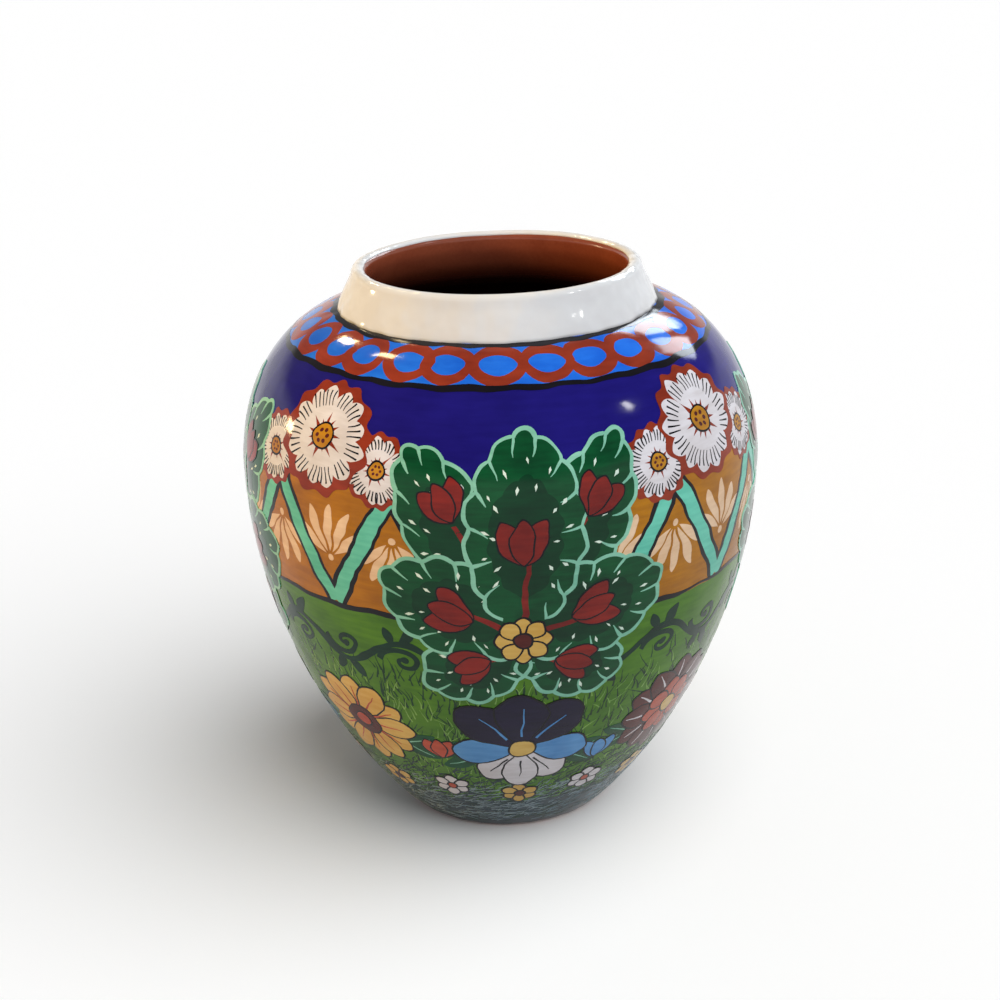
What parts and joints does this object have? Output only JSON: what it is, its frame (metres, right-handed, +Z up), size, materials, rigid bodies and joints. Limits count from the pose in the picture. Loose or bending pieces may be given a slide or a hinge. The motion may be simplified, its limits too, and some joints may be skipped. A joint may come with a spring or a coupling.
{
  "type": "clay vase",
  "caption": "Squat hand-painted terracotta vase with a swelling belly, a white glazed collar round its wide mouth and a flat foot; holds flowers or stands as an ornament.",
  "frame": {"origin": "middle of the underside of the foot, on the table", "axes": "+Z up along the turning axis; the view of the picture looks along +Y"},
  "size_m": [0.1446, 0.1446, 0.16],
  "materials": {
    "terracotta": "fired red-brown clay, smoothed by hand, thin clear glaze inside the mouth",
    "white_glaze": "glossy off-white glaze, brushed on unevenly",
    "blue_slip": "bright blue slip with a rust chain, gloss varnish",
    "cobalt_slip": "deep cobalt slip, gloss varnish",
    "ochre_slip": "ochre slip with pale brush lines, gloss varnish",
    "green_slip": "grass-green slip, gloss varnish",
    "slate_slip": "slate-green slip with fine strokes, gloss varnish"
  },
  "bodies": {
    "root": {"base_disc": "terracotta", "foot_wall": "terracotta", "belly_wall": "terracotta", "shoulder_wall": "terracotta", "neck_wall": "terracotta", "neck_collar": "terracotta", "rim_glaze": "white_glaze", "blue_border": "blue_slip", "cobalt_band": "cobalt_slip", "ochre_band": "ochre_slip", "green_band": "green_slip", "foot_band": "slate_slip"}
  },
  "joints": []
}
